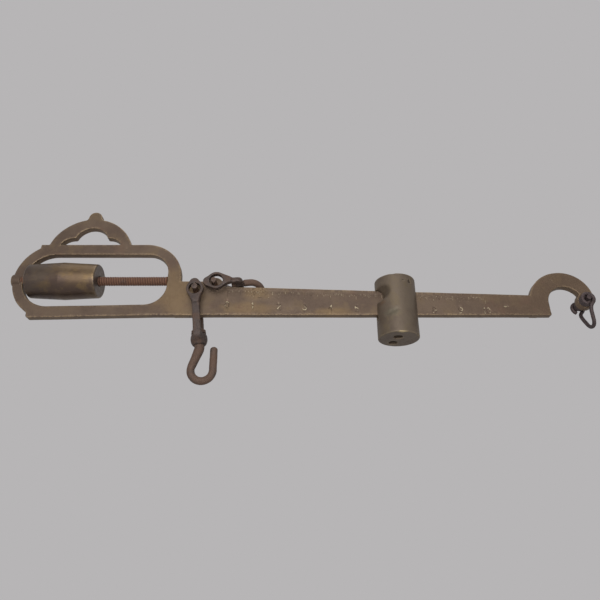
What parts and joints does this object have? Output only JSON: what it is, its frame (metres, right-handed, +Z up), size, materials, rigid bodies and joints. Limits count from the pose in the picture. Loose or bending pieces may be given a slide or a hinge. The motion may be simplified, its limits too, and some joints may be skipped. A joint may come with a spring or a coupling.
{
  "type": "beam scale",
  "caption": "Hanging weighing beam: cast brass bar with a loop end and screw-set counterweight, knife-edge pivots, iron hangers with hooks, tip link and sliding poise.",
  "frame": {"origin": "on the fulcrum line, the axis that the suspension hanger swings on, half way through the casting", "axes": "+X along the graduated bar towards the tip, -Y out of the graduated face, +Z up when the beam hangs level"},
  "size_m": [0.6059, 0.0433, 0.1982],
  "materials": {
    "beam_brass": "dull olive-brown cast brass with a soft patina",
    "weight_brass": "turned brass, smooth, darkened, satin",
    "poise_brass": "dull turned brass with pits and greenish stains",
    "screw_iron": "rusty threaded iron",
    "pivot_iron": "brown worn iron",
    "forged_iron": "dark brown forged iron",
    "rusty_iron": "rust-brown forged iron",
    "lead": "dull grey lead, stained brown"
  },
  "bodies": {
    "beam": {"beam_bar": "beam_brass", "beam_loop": "beam_brass", "beam_arch": "beam_brass", "beam_gooseneck": "beam_brass", "balance_screw": "screw_iron", "fulcrum_pivot": "pivot_iron", "load_pivot": "pivot_iron", "tip_pivot": "pivot_iron", "tip_collar_front": "pivot_iron", "tip_collar_back": "pivot_iron"},
    "weight_core": {"counterbalance_core": "weight_brass"},
    "weight": {"counterbalance_weight": "weight_brass"},
    "hanger": {"fulcrum_hanger": "forged_iron", "hanger_washer": "rusty_iron"},
    "hanger_hook": {"hanger_hook": "rusty_iron"},
    "clevis": {"load_clevis": "forged_iron", "load_washer": "rusty_iron"},
    "load_hook": {"load_hook": "rusty_iron"},
    "tip_link": {"tip_link": "forged_iron"},
    "poise": {"poise": "poise_brass", "poise_lead_front": "lead", "poise_lead_back": "lead"}
  },
  "joints": [
    {"name": "hanger_hinge", "type": "hinge", "parent": "beam", "child": "hanger", "pos_m": [0, 0, 0], "axis": [0, -1, 0], "range_deg": [0, 130]},
    {"name": "hanger_hook_swivel", "type": "hinge", "parent": "hanger", "child": "hanger_hook", "pos_m": [0.02974, 0, 0.00392], "axis": [0.9914, 0, 0.1305], "range_deg": [0, 255]},
    {"name": "clevis_hinge", "type": "hinge", "parent": "beam", "child": "clevis", "pos_m": [-0.01905, 0, -0.0074], "axis": [0, 1, 0], "range_deg": [-35, 44]},
    {"name": "load_hook_swivel", "type": "hinge", "parent": "clevis", "child": "load_hook", "pos_m": [-0.01235, 0, -0.06199], "axis": [0.1219, 0, -0.9925], "continuous": true},
    {"name": "tip_link_hinge", "type": "hinge", "parent": "beam", "child": "tip_link", "pos_m": [0.381, 0, -0.0195], "axis": [0, 1, 0], "range_deg": [-150, 128]},
    {"name": "poise_slide", "type": "slide", "parent": "beam", "child": "poise", "axis": [0.9995, 0, -0.0315], "range_m": [-0.1132, 0.1171]},
    {"name": "weight_travel", "type": "slide", "parent": "beam", "child": "weight_core", "axis": [1, 0, 0], "range_m": [-0.0008, 0.0683]},
    {"name": "weight_turn", "type": "hinge", "parent": "weight_core", "child": "weight", "pos_m": [-0.1588, 0, 0.0061], "axis": [1, 0, 0], "range_deg": [-113, 9680]}
  ],
  "couplings": [
    {"joint": "weight_travel", "follows": "weight_turn", "m_per_rad": 0.00040425}
  ]
}
